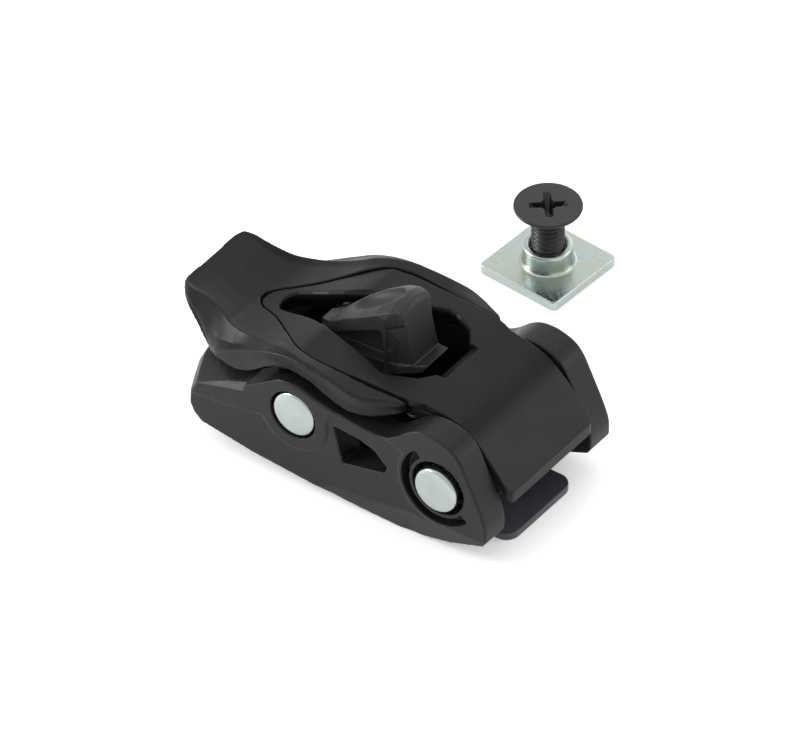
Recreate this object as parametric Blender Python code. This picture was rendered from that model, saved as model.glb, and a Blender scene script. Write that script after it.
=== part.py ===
"""Cam-lever strap buckle with its fixing screw and square nut.

The rear pin's axis is the reference of every side profile: profile points are
(forward, up) from that axis in millimetres. The strap enters at +X and leaves
at -X. The buckle is the same on both sides of Y = 0 and stands on Z = 0.
"""

import math

import bmesh
import bpy
from mathutils import Matrix, Vector

MM = 0.001

# Pins
REAR_PIN_UP = 12.5          # rear pin axis above the seat
FRONT_PIN = (25.2, -0.9)    # front pin axis from the rear pin axis
PIN_R = 2.0
PIN_HEAD_R = 3.6
REAR_COUNTERBORE_R = 3.9
FRONT_COUNTERBORE_R = 4.4
SPIGOT_R = 1.15
FIT = 0.15                  # radial clearance of a pin or rivet in its hole
GAP = 0.3                   # clearance between pieces that meet face to face

# Base
HALF_WIDTH = 15.0
WALL_INNER = 10.3
FLOOR_TOP = 2.8
FLOOR_FRONT = 21.5
BRIDGE_FRONT = -11.5
EXIT_HALF = 8.4
EXIT_TOP = 7.4
EXIT_SILL = 3.1
PLATE_HALF = 7.8
PLATE_T = 1.2
PLATE_REAR = -12.0
PLATE_FRONT = 32.5
FIX_X = 16.6                # axis of the fixing screw hole in the floor
CUP_R = 5.9

# Lever
COVER_T = 1.2
BARREL_R = 5.6
BARREL_HALF = 9.9
BUSH_R = 2.75
SLOT_R = 5.3
CAM_HALF = 3.0
SPRING_IN = 4.6
SPRING_OUT = 8.3

# Pawl
PAWL_HALF = 4.2
HUB_R = 4.9

# Fixing kit
NUT_AT = (1.4, 44.6)
NUT_TURN = math.radians(-4.0)
NUT_SIDE = 14.0
NUT_FLANGE_T = 1.5
NUT_BOSS_R = 3.65
NUT_TOP = 4.7
NUT_BORE_R = 2.65
SCREW_R = 2.4
SCREW_HEAD_R = 5.0
SCREW_TOP = 11.8
SCREW_LENGTH = 10.0

# Side wall outline, clockwise seen from the near side, starting at the nose tip
WALL = [
    (-18.0, -6.6), (-17.9, -4.4), (-16.9, -2.5), (-12.5, -0.5), (-8.5, 1.3), (-4.3, 4.1), (-2.3, 5.3),
    (0.7, 5.5), (4.6, 4.5), (10.0, 3.6), (14.9, 3.4), (17.6, 4.7), (19.8, 6.6),
    (22.1, 7.7), (25.2, 7.7), (28.3, 6.2), (30.6, 2.1), (33.2, -3.8), (33.4, -7.1),
    (32.8, -8.0), (26.5, -10.7), (22.1, -12.0), (17.6, -12.5), (12.0, -12.0), (7.0, -11.5),
    (-1.0, -10.9), (-7.0, -10.5), (-16.0, -9.2), (-17.3, -8.1),
]
WINDOW = [(6.9, 1.3), (11.5, 1.0), (14.0, 0.2), (16.2, -1.8), (15.7, -3.0), (8.5, -4.7)]

# Top line of the cover, (forward, up)
ROOF = [
    (-15.7, 4.0), (-9.9, 5.9), (-2.4, 8.6), (0.5, 8.8), (8.0, 8.8), (15.8, 8.7),
    (20.5, 8.3), (24.0, 7.75), (26.5, 6.8), (28.6, 5.2), (31.4, 2.1), (34.1, -1.2), (35.9, -3.4),
]
# Half width of the cover, (forward, half width)
COVER_HALF = [
    (-15.75, 0.5), (-15.3, 1.4), (-14.2, 2.3), (-12.4, 3.2), (-9.9, 4.7), (-6.0, 7.8), (-2.4, 10.5), (0.5, 11.3),
    (4.0, 11.5), (15.8, 11.0), (19.0, 10.4), (21.0, 10.0), (33.2, 10.0), (34.1, 9.1),
]
# Pawl opening in the cover, (forward, across)
OPENING = [
    (-12.6, 0.0), (-12.3, -1.2), (-11.5, -2.0), (-9.4, -2.5), (-6.9, -2.9), (-4.5, -3.5), (-0.8, -4.8), (4.0, -5.9),
    (7.5, -6.9), (10.4, -8.1), (11.8, -7.9), (15.3, -6.2), (16.9, -4.0), (16.9, 4.0), (15.3, 6.2), (11.8, 7.9),
    (10.4, 8.1), (7.5, 6.9), (4.0, 5.9), (-0.8, 4.8), (-4.5, 3.5), (-6.9, 2.9), (-9.4, 2.5), (-11.5, 2.0),
    (-12.3, 1.2),
]

# Lever shell stations: forward, top centre, top edge (half width, up),
# crease (half width, up), skirt (half width, up), underside
LEVER = [
    (-25.2, 6.8, (5.6, 6.9), (5.7, 6.4), (5.6, 5.9), 5.8),
    (-24.7, 6.6, (6.9, 7.0), (7.1, 6.2), (7.1, 5.5), 5.2),
    (-23.4, 6.2, (7.4, 6.9), (8.0, 5.4), (8.2, 4.4), 4.1),
    (-21.0, 5.5, (7.4, 6.7), (8.5, 3.8), (9.0, 2.3), 2.2),
    (-18.7, 4.8, (7.7, 6.2), (9.8, 1.9), (10.2, 1.1), 1.0),
    (-17.0, 4.4, (8.2, 5.7), (11.2, 1.6), (11.4, 1.0), 0.9),
    (-15.7, 4.2, (8.8, 5.4), (12.0, 2.2), (12.2, 1.3), 1.2),
    (-13.5, 4.8, (9.5, 5.5), (12.4, 3.5), (13.0, 1.7), 1.6),
    (-11.4, 5.5, (9.9, 6.0), (12.6, 4.7), (13.6, 2.1), 2.0),
    (-9.0, 6.3, (10.6, 6.7), (12.9, 6.0), (14.0, 3.0), 3.0),
    (-7.0, 7.0, (11.1, 7.5), (13.1, 7.1), (14.2, 4.4), 4.0),
    (-5.0, 7.8, (11.8, 8.3), (13.3, 7.9), (14.3, 5.9), 5.0),
    (-2.4, 8.5, (12.6, 8.9), (13.5, 8.6), (14.2, 7.0), 5.9),
    (0.5, 8.7, (13.3, 9.1), (13.8, 8.8), (14.2, 7.1), 6.0),
    (3.0, 8.7, (13.6, 9.0), (14.0, 8.7), (14.3, 6.7), 6.0),
    (5.0, 8.7, (13.8, 8.9), (14.1, 8.6), (14.4, 5.9), 5.6),
    (8.4, 8.7, (14.1, 8.5), (14.4, 8.1), (14.4, 4.9), 5.4),
    (10.5, 8.7, (14.1, 8.2), (14.3, 7.7), (14.1, 4.8), 5.4),
    (12.5, 8.6, (13.5, 8.2), (13.7, 7.6), (13.5, 4.9), 5.4),
    (14.6, 8.6, (12.6, 8.3), (12.7, 7.7), (12.5, 5.4), 5.6),
    (16.4, 8.5, (11.9, 8.2), (12.0, 7.7), (11.8, 6.2), 5.7),
    (17.0, 8.4, (11.3, 8.0), (11.4, 7.6), (11.3, 6.7), 5.8),
]
# Front block of the lever under the cover, ahead of the arms
BLOCK = [
    (13.0, 7.2), (15.8, 7.2), (20.3, 6.8), (25.2, 5.9), (28.0, 3.8), (32.7, -1.2),
    (31.6, -2.6), (30.3, -4.3), (28.2, -6.0), (22.2, -5.6), (19.7, -1.0), (18.4, 3.0), (17.0, 5.4),
    (13.0, 5.4),
]

# Pawl outlines
HUB_ARM = [
    (14.4, 7.6), (13.6, 6.2), (9.0, 4.4), (5.4, 1.2), (4.6, -1.8), (2.6, -4.5), (0.0, -5.2),
    (-3.4, -5.6), (-4.6, -6.9), (-8.9, -6.6), (-9.0, -2.6), (-6.0, 0.4), (-4.9, 3.0), (-4.9, 5.2),
    (-3.0, 5.6), (10.0, 6.4),
]
THUMB = [
    (-4.9, 4.9), (-4.9, 6.3), (-3.0, 7.3), (0.5, 10.8), (3.4, 13.2), (6.4, 15.2), (8.5, 16.1),
    (10.1, 16.2), (10.7, 15.6), (14.5, 7.6), (14.0, 6.0), (9.0, 4.4), (5.4, 4.0), (0.0, 4.0),
]
THUMB_PLAN = [
    (-5.2, -1.1), (-1.5, -2.7), (2.8, -4.0), (5.2, -4.15), (8.0, -4.1), (9.8, -3.3), (15.0, -2.8),
    (15.0, 2.8), (9.8, 3.3), (8.0, 4.1), (5.2, 4.15), (2.8, 4.0), (-1.5, 2.7), (-5.2, 1.1),
]
THUMB_DRAFT = [
    (-4.18, 3.0), (4.18, 3.0), (4.18, 14.0), (3.6, 15.4), (2.8, 17.0),
    (-2.8, 17.0), (-3.6, 15.4), (-4.18, 14.0),
]
# Hollow in each flank of the thumb piece, (forward, up)
WAIST = [
    (-3.0, 4.9), (-0.6, 6.9), (2.6, 9.3), (6.9, 11.6), (7.6, 11.3), (8.0, 8.6), (7.8, 4.0), (5.4, 1.6), (2.0, 3.0),
]
TOOTH = [(-7.9, -3.6), (-5.9, -3.2), (-5.4, -6.3), (-6.5, -9.2), (-7.4, -9.2), (-8.1, -6.2)]


def start_clean():
    """Removes what the file holds."""
    for ob in list(bpy.data.objects):
        bpy.data.objects.remove(ob, do_unlink=True)


def material(name, color, roughness, metallic):
    """A Principled material."""
    mat = bpy.data.materials.new(name)
    mat.use_nodes = True
    shader = mat.node_tree.nodes["Principled BSDF"]
    shader.inputs["Base Color"].default_value = (*color, 1.0)
    shader.inputs["Roughness"].default_value = roughness
    shader.inputs["Metallic"].default_value = metallic
    return mat


def finish_mesh(name, bm, origin):
    """Turns a bmesh in millimetres into an object whose origin is at origin."""
    bmesh.ops.recalc_face_normals(bm, faces=bm.faces)
    shift = Vector(origin)
    for v in bm.verts:
        v.co = (v.co - shift) * MM
    mesh = bpy.data.meshes.new(name)
    bm.to_mesh(mesh)
    bm.free()
    mesh.shade_smooth()
    mesh.set_sharp_from_angle(angle=math.radians(30.0))
    ob = bpy.data.objects.new(name, mesh)
    bpy.context.scene.collection.objects.link(ob)
    ob.location = shift * MM
    return ob


def lift(points):
    """Side profile points to (x, z) above the seat."""
    return [(x, z + REAR_PIN_UP) for x, z in points]


def prism(name, points, low, high, across="Y", origin=(0, 0, 0)):
    """Extrudes an outline. across Y takes (x, z) points, Z takes (x, y), X takes (y, z)."""
    place = {
        "Y": lambda a, b, t: (a, t, b),
        "Z": lambda a, b, t: (a, b, t),
        "X": lambda a, b, t: (t, a, b),
    }[across]
    bm = bmesh.new()
    verts = [bm.verts.new(place(a, b, low)) for a, b in points]
    face = bm.faces.new(verts)
    grown = bmesh.ops.extrude_face_region(bm, geom=[face])
    moved = [g for g in grown["geom"] if isinstance(g, bmesh.types.BMVert)]
    step = Vector(place(0, 0, high)) - Vector(place(0, 0, low))
    bmesh.ops.translate(bm, verts=moved, vec=step)
    return finish_mesh(name, bm, origin)


def skin(name, rings, origin=(0, 0, 0), closed=False):
    """Joins rings of points, with a cap at each end unless the rings close on themselves."""
    bm = bmesh.new()
    rows = [[bm.verts.new(p) for p in ring] for ring in rings]
    n = len(rows[0])
    pairs = list(zip(rows, rows[1:]))
    if closed:
        pairs.append((rows[-1], rows[0]))
    for a, b in pairs:
        for i in range(n):
            j = (i + 1) % n
            bm.faces.new((a[i], a[j], b[j], b[i]))
    if not closed:
        bm.faces.new(rows[0])
        bm.faces.new(rows[-1])
    return finish_mesh(name, bm, origin)


def turned(name, profile, axis_at, along="Y", steps=40, origin=None):
    """Turns a (radius, distance) profile round an axis through axis_at."""
    bm = bmesh.new()
    verts = []
    for r, t in profile:
        if along == "Y":
            verts.append(bm.verts.new((axis_at[0] + r, t, axis_at[1])))
        else:
            verts.append(bm.verts.new((axis_at[0] + r, axis_at[1], t)))
    edges = [bm.edges.new((a, b)) for a, b in zip(verts, verts[1:])]
    if profile[0][0] > 0:
        edges.append(bm.edges.new((verts[-1], verts[0])))
    if along == "Y":
        centre = (axis_at[0], 0, axis_at[1])
        axis = (0, 1, 0)
    else:
        centre = (axis_at[0], axis_at[1], 0)
        axis = (0, 0, 1)
    bmesh.ops.spin(bm, geom=verts + edges, cent=centre, axis=axis, angle=2 * math.pi, steps=steps)
    bmesh.ops.remove_doubles(bm, verts=bm.verts, dist=0.0005)
    place = origin if origin is not None else centre
    return finish_mesh(name, bm, place)


def cut(ob, cutter, operation="DIFFERENCE"):
    """Adds an exact Boolean and hides its operand."""
    mod = ob.modifiers.new(operation.title(), "BOOLEAN")
    mod.operation = operation
    mod.solver = "EXACT"
    mod.object = cutter
    cutter.hide_render = True
    cutter.display_type = "WIRE"
    return ob


def soften(ob, width, segments=1, angle=40.0):
    """Adds a small bevel to the sharp edges."""
    mod = ob.modifiers.new("Bevel", "BEVEL")
    mod.width = width * MM
    mod.segments = segments
    mod.limit_method = "ANGLE"
    mod.angle_limit = math.radians(angle)
    return ob


def round_cutter(name, at, r, low, high, along="Y", steps=32):
    """A plain cylinder."""
    return turned(name, [(0, low), (r, low), (r, high), (0, high)], at, along, steps)


def inset(points, amount):
    """Moves each corner of an outline inwards by amount, along its two sides' mean normal."""
    area = sum(a[0] * b[1] - b[0] * a[1] for a, b in zip(points, points[1:] + points[:1]))
    turn = 1.0 if area > 0 else -1.0
    out = []
    for i, p in enumerate(points):
        before = Vector(points[i - 1])
        here = Vector(p)
        after = Vector(points[(i + 1) % len(points)])
        d1 = (here - before).normalized()
        d2 = (after - here).normalized()
        n1 = Vector((-d1.y, d1.x)) * turn
        n2 = Vector((-d2.y, d2.x)) * turn
        mean = (n1 + n2).normalized()
        reach = amount / max(0.5, mean.dot(n1))
        out.append(tuple(here + mean * reach))
    return out


def below(line, depth):
    """An open line moved down square to itself."""
    out = []
    for i, p in enumerate(line):
        before = Vector(line[max(0, i - 1)])
        after = Vector(line[min(len(line) - 1, i + 1)])
        run = (after - before).normalized()
        out.append((p[0] + run.y * depth, p[1] - run.x * depth))
    return out


def along(table, x):
    """Straight-line reading of a two-column table."""
    if x <= table[0][0]:
        return table[0][1]
    for (x0, y0), (x1, y1) in zip(table, table[1:]):
        if x <= x1:
            return y0 + (y1 - y0) * (x - x0) / (x1 - x0)
    return table[-1][1]


def base_ring(y, shrink):
    """Side outline of the base at one place across its width; the nose bows out."""
    bow = (HALF_WIDTH ** 2 - y ** 2) * 0.0151
    rise = max(0.0, min(1.0, (HALF_WIDTH - abs(y)) / (HALF_WIDTH - WALL_INNER))) * 1.85
    ring = []
    for x, z in lift(inset(WALL, shrink)):
        nose = max(0.0, min(1.0, (-8.5 - x) / 8.0))
        top = 1.0 if z > 8.0 else 0.0
        ring.append((x - bow * nose, y, z + rise * nose * top))
    return ring


def make_base(mat):
    """The moulded base: walls, floor, rear bridge and every hole in them."""
    stations = [(HALF_WIDTH, 0.4), (HALF_WIDTH - 0.4, 0.0), (12.5, 0.0), (WALL_INNER, 0.0), (5.0, 0.0)]
    full = [(y, s) for y, s in stations] + [(-y, s) for y, s in reversed(stations)]
    base = skin("base_frame", [base_ring(y, s) for y, s in full])
    pad = [(-14.0, 0.0), (22.0, 0.0), (22.0, 6.0), (-15.5, 6.0), (-15.5, 1.5)]
    floor = prism("floor_block", pad, -9.8, 9.8)
    cut(base, floor, "UNION")
    channel = prism(
        "channel_cut",
        [(BRIDGE_FRONT, FLOOR_TOP), (FLOOR_FRONT, FLOOR_TOP), (FLOOR_FRONT, -2.0), (40.0, -2.0),
         (40.0, 30.0), (BRIDGE_FRONT, 30.0)],
        -WALL_INNER, WALL_INNER,
    )
    cut(base, channel)
    strap_exit = prism(
        "exit_cut",
        [(-30.0, EXIT_SILL), (BRIDGE_FRONT + 1.0, EXIT_SILL), (BRIDGE_FRONT + 1.0, EXIT_TOP), (-30.0, EXIT_TOP)],
        -EXIT_HALF, EXIT_HALF,
    )
    cut(base, strap_exit)
    seat = prism(
        "plate_recess",
        [(PLATE_REAR - GAP, -1.0), (40.0, -1.0), (40.0, PLATE_T + GAP), (PLATE_REAR - GAP, PLATE_T + GAP)],
        -PLATE_HALF - GAP, PLATE_HALF + GAP,
    )
    cut(base, seat)
    cut(base, round_cutter("cup_cut", (FIX_X, 0.0), CUP_R + GAP, 0.5, 4.0, "Z", 40))
    cut(base, prism("window_cut", lift(WINDOW), -20.0, -5.0))
    pins = [
        ("rear", (0.0, REAR_PIN_UP), REAR_COUNTERBORE_R, 1.3),
        ("front", (FRONT_PIN[0], FRONT_PIN[1] + REAR_PIN_UP), FRONT_COUNTERBORE_R, 1.6),
    ]
    for name, at, r, deep in pins:
        step = HALF_WIDTH - deep
        fine = PIN_R + FIT
        stepped = [(0, -20), (r, -20), (r, -step), (fine, -step), (fine, step), (r, step), (r, 20), (0, 20)]
        cut(base, turned(name + "_bore", stepped, at, steps=40))
    groove = []
    for r, turn in ((6.3, 1), (5.0, -1)):
        steps = [math.radians(125.0 + 195.0 * i / 14) for i in range(15)][::turn]
        for a in steps:
            groove.append((FRONT_PIN[0] + r * math.cos(a), FRONT_PIN[1] + REAR_PIN_UP + r * math.sin(a)))
    cut(base, prism("near_groove", groove, -20.0, 1.5 - HALF_WIDTH))
    cut(base, prism("far_groove", groove, HALF_WIDTH - 1.5, 20.0))
    base.data.materials.append(mat)
    return base


def make_plate(mat):
    """Flat guide plate whose front end stands out as the strap tongue."""
    r = 2.2
    outline = [(PLATE_REAR, -PLATE_HALF)]
    for cy, a0 in ((-PLATE_HALF + r, -90.0), (PLATE_HALF - r, 0.0)):
        for i in range(7):
            a = math.radians(a0 + 15.0 * i)
            outline.append((PLATE_FRONT - r + r * math.cos(a), cy + r * math.sin(a)))
    outline.append((PLATE_REAR, PLATE_HALF))
    plate = prism("strap_guide_plate", outline, 0.0, PLATE_T, "Z")
    hole = turned("plate_hole", [(0, -1.0), (2.75, -1.0), (2.75, 0.5), (4.0, 1.75), (0, 1.75)], (FIX_X, 0.0), "Z", 32)
    cut(plate, hole)
    plate.data.materials.append(mat)
    return plate


def make_pin(name, at, head_out, head_in, mat):
    """Rivet pin with its near head, and the cap that closes its far end."""
    pin = turned(
        name,
        [(0, -head_out), (PIN_HEAD_R - 0.5, -head_out), (PIN_HEAD_R, 0.35 - head_out), (PIN_HEAD_R, -head_in),
         (PIN_R, -head_in), (PIN_R, 10.9), (SPIGOT_R, 10.9), (SPIGOT_R, head_out - 1.0), (0, head_out - 1.0)],
        at,
    )
    cap = turned(
        name + "_cap",
        [(0, head_out), (PIN_HEAD_R - 0.5, head_out), (PIN_HEAD_R, head_out - 0.35), (PIN_HEAD_R, head_in),
         (PIN_R, head_in), (PIN_R, 11.2), (SPIGOT_R + FIT, 11.2), (SPIGOT_R + FIT, head_out - 0.7),
         (0, head_out - 0.7)],
        at,
    )
    pin.data.materials.append(mat)
    cap.data.materials.append(mat)
    return pin, cap


def sleeve(name, at, r_in, r_out, low, high, mat, axis="Y", steps=32):
    """A plain tube."""
    ob = turned(name, [(r_in, low), (r_out, low), (r_out, high), (r_in, high)], at, axis, steps)
    ob.data.materials.append(mat)
    return ob


def coil(name, at, r, wire, low, high, turns, mat, per_turn=18, sides=6):
    """Close coil round a Y axis."""
    rings = []
    count = int(turns * per_turn)
    for i in range(count + 1):
        a = 2 * math.pi * i / per_turn
        y = low + wire + (high - low - 2 * wire) * i / count
        out = Vector((math.cos(a), 0, math.sin(a)))
        ring = []
        for k in range(sides):
            b = 2 * math.pi * k / sides
            ring.append(Vector((at[0], y, at[1])) + out * (r + wire * math.cos(b)) + Vector((0, wire * math.sin(b), 0)))
        rings.append(ring)
    ob = skin(name, rings, origin=(at[0], 0, at[1]))
    ob.data.materials.append(mat)
    return ob


def lever_ring(x, top, edge, crease, skirt, under):
    """Cross-section of the lever shell, near side first."""
    half = [
        (edge[0] * 0.55, top + (edge[1] - top) * 0.2), (edge[0] * 0.88, top + (edge[1] - top) * 0.5),
        edge, crease, skirt,
        (skirt[0] - 0.9, skirt[1] + 0.05), (min(9.6, skirt[0] - 1.6), under),
    ]
    near = [(x, -y, z + REAR_PIN_UP) for y, z in half]
    far = [(x, y, z + REAR_PIN_UP) for y, z in reversed(half)]
    return near + far


def make_lever(mat):
    """Lever shell with pocket, opening, barrel and slots; its origin is on the front pin."""
    axis = (FRONT_PIN[0], 0.0, FRONT_PIN[1] + REAR_PIN_UP)
    at = (axis[0], axis[2])
    shell = skin("lever_shell", [lever_ring(*s) for s in LEVER], origin=axis)
    block = prism("lever_block", lift(BLOCK), -BARREL_HALF, BARREL_HALF)
    cut(shell, block, "UNION")
    barrel = round_cutter("lever_barrel", at, BARREL_R, -BARREL_HALF + 0.02, BARREL_HALF - 0.02, steps=44)
    cut(shell, barrel, "UNION")
    outline = [(x, -h - GAP) for x, h in COVER_HALF] + [(x, h + GAP) for x, h in reversed(COVER_HALF)]
    outline[0] = (outline[0][0] - GAP, outline[0][1])
    outline[-1] = (outline[-1][0] - GAP, outline[-1][1])
    pocket = prism("pocket_cut", outline, 0.0, 40.0, "Z")
    under = below(ROOF, COVER_T + GAP)
    lead = [(-20.0, under[0][1] - 1.3)] + under + [(40.0, -8.0), (40.0, 30.0), (-20.0, 30.0)]
    above = prism("pocket_floor", lift(lead), -20.0, 20.0)
    cut(pocket, above, "INTERSECT")
    cut(shell, pocket)
    well = prism("shell_opening", inset(OPENING, -1.1), 5.0, 40.0, "Z")
    cut(shell, well)
    cut(shell, round_cutter("barrel_bore", at, BUSH_R + FIT, -12.0, 12.0))
    slot = [(at[0] + SLOT_R, at[1] - 9.0)]
    for i in range(17):
        a = math.pi * i / 16
        slot.append((at[0] + SLOT_R * math.cos(a), at[1] + SLOT_R * math.sin(a)))
    slot.append((at[0] - SLOT_R, at[1] - 9.0))
    cut(shell, prism("cam_slot", slot, -CAM_HALF - GAP, CAM_HALF + GAP))
    cut(shell, prism("spring_slot", slot, SPRING_IN, SPRING_OUT))
    dowel = (FRONT_PIN[0] - 3.6, FRONT_PIN[1] + REAR_PIN_UP + 1.6)
    cut(shell, round_cutter("dowel_bore", dowel, 0.95, -4.3, 4.3, steps=16))
    for i, (x, y, low) in enumerate(rivet_places()):
        stepped = [(0, low - 3), (1.9, low - 3), (1.9, low - 0.3), (1.0, low - 0.3), (1.0, low + 4), (0, low + 4)]
        cut(shell, turned("rivet_bore_%d" % (i + 1), stepped, (x, y), "Z", 20))
    shell.data.materials.append(mat)
    return shell


def rivet_places():
    """Where the four cover rivets stand: forward, across, underside of the shell there."""
    places = []
    for x, y, under in ((-6.0, 6.2, 4.5), (16.8, 8.3, 5.6)):
        for side in (-1, 1):
            places.append((x, side * y, under + REAR_PIN_UP))
    return places


def make_cover(mat):
    """Cover plate: its outline in plan, bent along the roof line."""
    outline = [(x, -h) for x, h in COVER_HALF] + [(x, h) for x, h in reversed(COVER_HALF)]
    axis = (FRONT_PIN[0], 0.0, FRONT_PIN[1] + REAR_PIN_UP)
    band = ROOF + list(reversed(below(ROOF, COVER_T)))
    cover = prism("cover_plate", lift(band), -13.0, 13.0, origin=axis)
    cut(cover, prism("cover_outline", outline, 0.0, 40.0, "Z"), "INTERSECT")
    cut(cover, prism("cover_opening", OPENING, 0.0, 40.0, "Z"))
    for i, (x, y, low) in enumerate(rivet_places()):
        roof = along(ROOF, x) + REAR_PIN_UP
        cut(cover, round_cutter("cover_bore_%d" % (i + 1), (x, y), 1.0, low, roof - 0.45, "Z", 16))
    cover.data.materials.append(mat)
    return cover


def make_rivets(mat):
    """Four rivets from below through the shell into the cover."""
    axis = (FRONT_PIN[0], 0.0, FRONT_PIN[1] + REAR_PIN_UP)
    out = []
    for i, (x, y, low) in enumerate(rivet_places()):
        top = along(ROOF, x) + REAR_PIN_UP - 0.75
        profile = [(0, low - 1.0), (1.6, low - 1.0), (1.6, low - 0.6), (0.85, low - 0.6), (0.85, top), (0, top)]
        ob = turned("cover_rivet_%d" % (i + 1), profile, (x, y), "Z", 20, origin=axis)
        ob.data.materials.append(mat)
        out.append(ob)
    return out


def make_drive_cam(mat):
    """Steel cam in the barrel with teeth on its lower side, and its dowel."""
    axis = (FRONT_PIN[0], 0.0, FRONT_PIN[1] + REAR_PIN_UP)
    outline = []
    for i in range(48):
        a = math.radians(7.5 * i)
        r = 5.0
        if 228 <= 7.5 * i <= 312:
            r = 6.2 if i % 2 == 0 else 5.2
        outline.append((axis[0] + r * math.cos(a), axis[2] + r * math.sin(a)))
    cam = prism("drive_cam", outline, -CAM_HALF, CAM_HALF, origin=axis)
    cut(cam, round_cutter("cam_bore", (axis[0], axis[2]), PIN_R + 0.1, -5.0, 5.0))
    at = (axis[0] - 3.6, axis[2] + 1.6)
    cut(cam, round_cutter("cam_dowel_bore", at, 0.95, -5.0, 5.0, steps=16))
    dowel = round_cutter("drive_cam_dowel", at, 0.8, -4.1, 4.1, steps=16)
    cam.data.materials.append(mat)
    dowel.data.materials.append(mat)
    return cam, dowel


def make_pawl(mat, steel):
    """Pawl with hub and thumb piece, its steel tooth and the tooth's rivet."""
    axis = (0.0, 0.0, REAR_PIN_UP)
    at = (0.0, REAR_PIN_UP)
    pawl = prism("release_pawl", lift(HUB_ARM), -PAWL_HALF, PAWL_HALF, origin=axis)
    trim = prism("arm_plan", [(-12, -4.3), (4, -4.3), (10, -3.8), (15, -2.4), (15, 2.4), (10, 3.8), (4, 4.3), (-12, 4.3)], 0.0, 30.0, "Z")
    cut(pawl, trim, "INTERSECT")
    hub = round_cutter("pawl_hub", at, HUB_R, 0.02 - PAWL_HALF, PAWL_HALF - 0.02, steps=40)
    cut(pawl, hub, "UNION")
    thumb = prism("thumb_block", lift(THUMB), -5.0, 5.0)
    cut(thumb, prism("thumb_plan", THUMB_PLAN, 0.0, 40.0, "Z"), "INTERSECT")
    cut(thumb, prism("thumb_draft", lift(THUMB_DRAFT), -10.0, 20.0, "X"), "INTERSECT")
    crown = []
    for y in (-4.4, -3.0, -1.5, 0.0, 1.5, 3.0, 4.4):
        fall = 0.062 * y * y
        crown.append([(x, y, z + REAR_PIN_UP - fall) for x, z in THUMB[2:9]] + [(16.0, y, 0.0), (-6.0, y, 0.0), (-6.0, y, 18.4 - fall)])
    cut(thumb, skin("thumb_crown", crown), "INTERSECT")
    for side in (-1, 1):
        low, high = sorted((side * 2.3, side * 6.0))
        cut(thumb, prism("waist", lift(WAIST), low, high))
    cut(pawl, thumb, "UNION")
    bm = bmesh.new()
    bmesh.ops.create_uvsphere(bm, u_segments=24, v_segments=12, radius=1.0)
    tilt = Matrix.Rotation(math.radians(-35.0), 4, "Y")
    place = Matrix.Translation((4.1, 0.0, REAR_PIN_UP + 13.9))
    bmesh.ops.transform(bm, matrix=place @ tilt @ Matrix.Diagonal((4.9, 2.3, 1.5, 1.0)), verts=bm.verts)
    cut(pawl, finish_mesh("thumb_dish", bm, (0, 0, 0)))
    cut(pawl, round_cutter("hub_bore", at, BUSH_R + FIT, -8.0, 8.0))
    slot = prism("tooth_slot", lift(inset(TOOTH, -GAP)), -3.3, 3.3)
    cut(pawl, slot)
    rivet_at = (-6.8, REAR_PIN_UP - 4.9)
    cut(pawl, round_cutter("tooth_rivet_bore", rivet_at, 0.95, -8.0, 8.0, steps=16))
    tooth = prism("pawl_tooth", lift(TOOTH), -3.0, 3.0, origin=axis)
    cut(tooth, round_cutter("tooth_bore", rivet_at, 0.95, -8.0, 8.0, steps=16))
    rivet = round_cutter("pawl_tooth_rivet", rivet_at, 0.8, -4.1, 4.1, steps=16)
    pawl.data.materials.append(mat)
    tooth.data.materials.append(steel)
    rivet.data.materials.append(steel)
    return pawl, tooth, rivet


def make_nut(mat):
    """Square flange with a round threaded boss."""
    c = NUT_SIDE / 2
    r = 0.8
    outline = []
    for k in range(4):
        turn = math.pi / 2 * k
        for i in range(4):
            a = math.radians(30.0 * i)
            x = c - r + r * math.cos(a)
            y = c - r + r * math.sin(a)
            outline.append((x * math.cos(turn) - y * math.sin(turn), x * math.sin(turn) + y * math.cos(turn)))
    nut = prism("square_nut", outline, 0.0, NUT_FLANGE_T, "Z")
    boss = turned("nut_boss", [(0, 0.4), (NUT_BOSS_R, 0.4), (NUT_BOSS_R, NUT_TOP - 0.3), (NUT_BOSS_R - 0.3, NUT_TOP), (0, NUT_TOP)], (0, 0), "Z", 40)
    cut(nut, boss, "UNION")
    cut(nut, round_cutter("nut_bore", (0, 0), NUT_BORE_R, -1.0, 6.0, "Z", 40))
    holder = bpy.data.objects.new("nut_place", None)
    bpy.context.scene.collection.objects.link(holder)
    for ob in [nut] + [m.object for m in nut.modifiers]:
        ob.parent = holder
    holder.location = (NUT_AT[0] * MM, NUT_AT[1] * MM, 0.0)
    holder.rotation_euler = (0.0, 0.0, NUT_TURN)
    nut.data.materials.append(mat)
    return nut


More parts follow.
